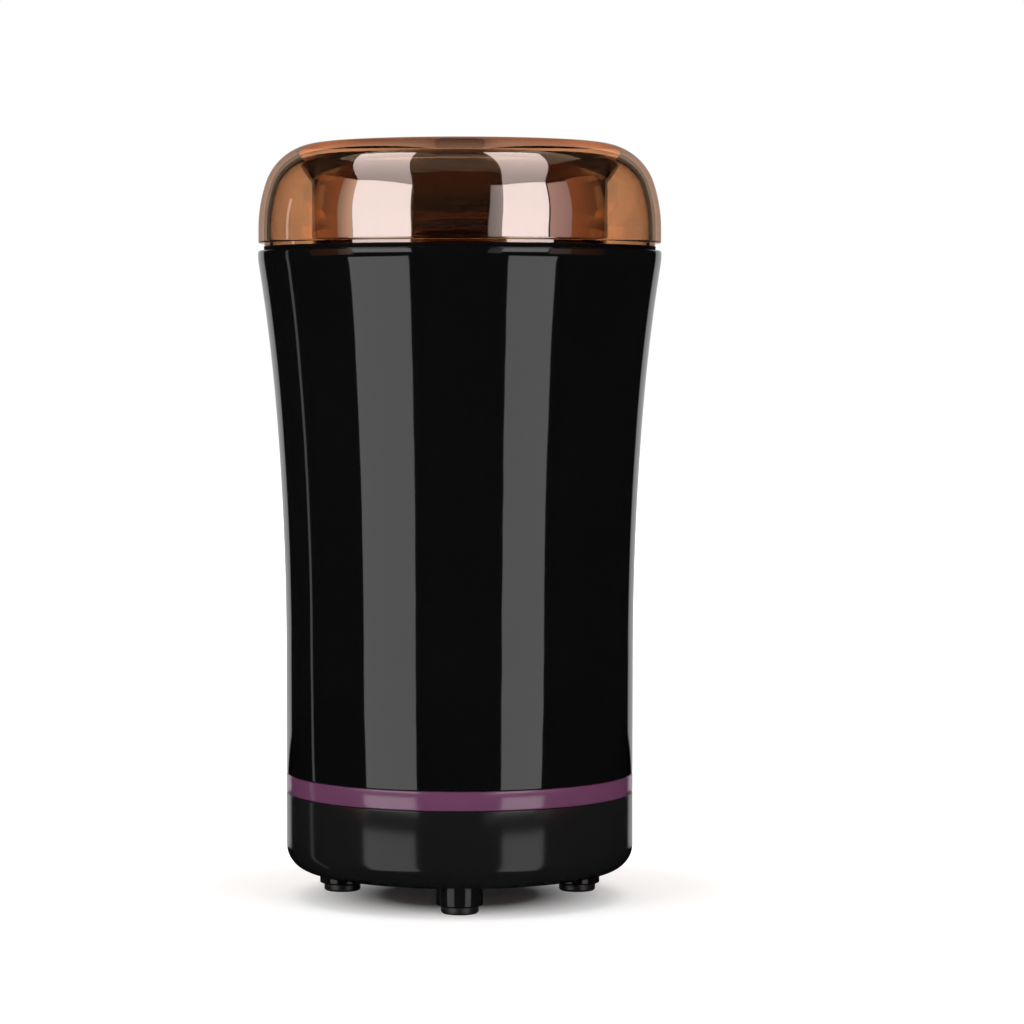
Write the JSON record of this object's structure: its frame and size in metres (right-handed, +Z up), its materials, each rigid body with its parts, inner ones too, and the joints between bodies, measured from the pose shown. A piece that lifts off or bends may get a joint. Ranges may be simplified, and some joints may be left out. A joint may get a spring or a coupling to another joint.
{
  "type": "electric coffee grinder",
  "caption": "Electric blade coffee grinder: flared gloss body with a tinted press-down lid, coloured ring, round base on rubber feet, with a steel bowl and crossed blades.",
  "frame": {"origin": "on the table, at the centre of the circle the four feet stand on, below the motor's axis", "axes": "+Z up along the motor's axis, -Y to the front as the picture shows it, +X to the picture's right; the pushrod and switch are at +Y"},
  "size_m": [0.0952, 0.0952, 0.178],
  "materials": {
    "black_abs": "gloss",
    "black_base": "semi-gloss",
    "purple_abs": "satin",
    "rubber": "matte",
    "carrier_pp": "fine texture",
    "stainless": "brushed",
    "screw_steel": "zinc plated",
    "bracket_zinc": "die cast",
    "bronze": "sintered",
    "lamination": "stamped",
    "copper_wire": "enamelled",
    "brass": "stamped",
    "carbon": "pressed",
    "nylon_white": "matt",
    "switch_plastic": "matt",
    "cap_yellow": "matt",
    "lead_pvc": "matt",
    "spring_steel": "bright",
    "lid_amber": "tinted, gloss"
  },
  "bodies": {
    "housing": {"body_shell": "black_abs", "trim_ring": "purple_abs", "base_cup": "black_base", "foot_pads": "rubber", "base_screws": "screw_steel", "cord_gland": "rubber", "bowl_carrier": "carrier_pp", "carrier_screws": "screw_steel", "grinding_bowl": "stainless", "shaft_seal": "rubber", "upper_bracket": "bracket_zinc", "lower_bracket": "bracket_zinc", "upper_bearing": "bronze", "lower_bearing": "bronze", "motor_mounts": "rubber", "motor_screws": "screw_steel", "stator_core": "lamination", "field_coils": "copper_wire", "thermal_fuse": "nylon_white", "brush_holders": "brass", "carbon_brushes": "carbon", "brush_springs": "spring_steel", "switch_body": "switch_plastic", "switch_terminals": "brass", "switch_screws": "screw_steel", "suppressor_capacitor": "cap_yellow", "inner_leads": "lead_pvc", "pushrod_spring": "spring_steel"},
    "rotor": {"motor_shaft": "screw_steel", "armature_core": "lamination", "armature_windings": "copper_wire", "commutator": "copper_wire", "cooling_fan": "nylon_white", "blade_hub": "stainless", "lower_blade": "stainless", "upper_blade": "stainless", "blade_nut": "stainless"},
    "pushrod": {"pushrod": "nylon_white"},
    "switch_lever": {"switch_lever": "spring_steel"},
    "switch_plunger": {"switch_plunger": "nylon_white"},
    "lid": {"lid_shell": "lid_amber"}
  },
  "joints": [
    {"name": "rotor_spin", "type": "hinge", "parent": "housing", "child": "rotor", "pos_m": [0, 0, 0.06], "axis": [0, 0, 1], "continuous": true},
    {"name": "switch_press", "type": "slide", "parent": "housing", "child": "pushrod", "axis": [0, 0, 1], "range_m": [-0.0014, 0], "stiffness_N_per_m": 900, "springref_m": 0.004, "deforming": ["pushrod_spring"]},
    {"name": "switch_lever_turn", "type": "hinge", "parent": "housing", "child": "switch_lever", "pos_m": [0.0084, 0.0334, 0.07415], "axis": [0, 1, 0], "range_deg": [-7.4, 0]},
    {"name": "switch_plunger_slide", "type": "slide", "parent": "housing", "child": "switch_plunger", "axis": [0, 0, 1], "range_m": [-0.0006, 0]},
    {"name": "lid_lift", "type": "slide", "parent": "pushrod", "child": "lid", "axis": [0, 0, 1], "range_m": [0, 0.06]}
  ],
  "couplings": [
    {"joint": "switch_lever_turn", "follows": "switch_press", "rad_per_m": 89},
    {"joint": "switch_plunger_slide", "follows": "switch_press", "ratio": 0.4}
  ]
}
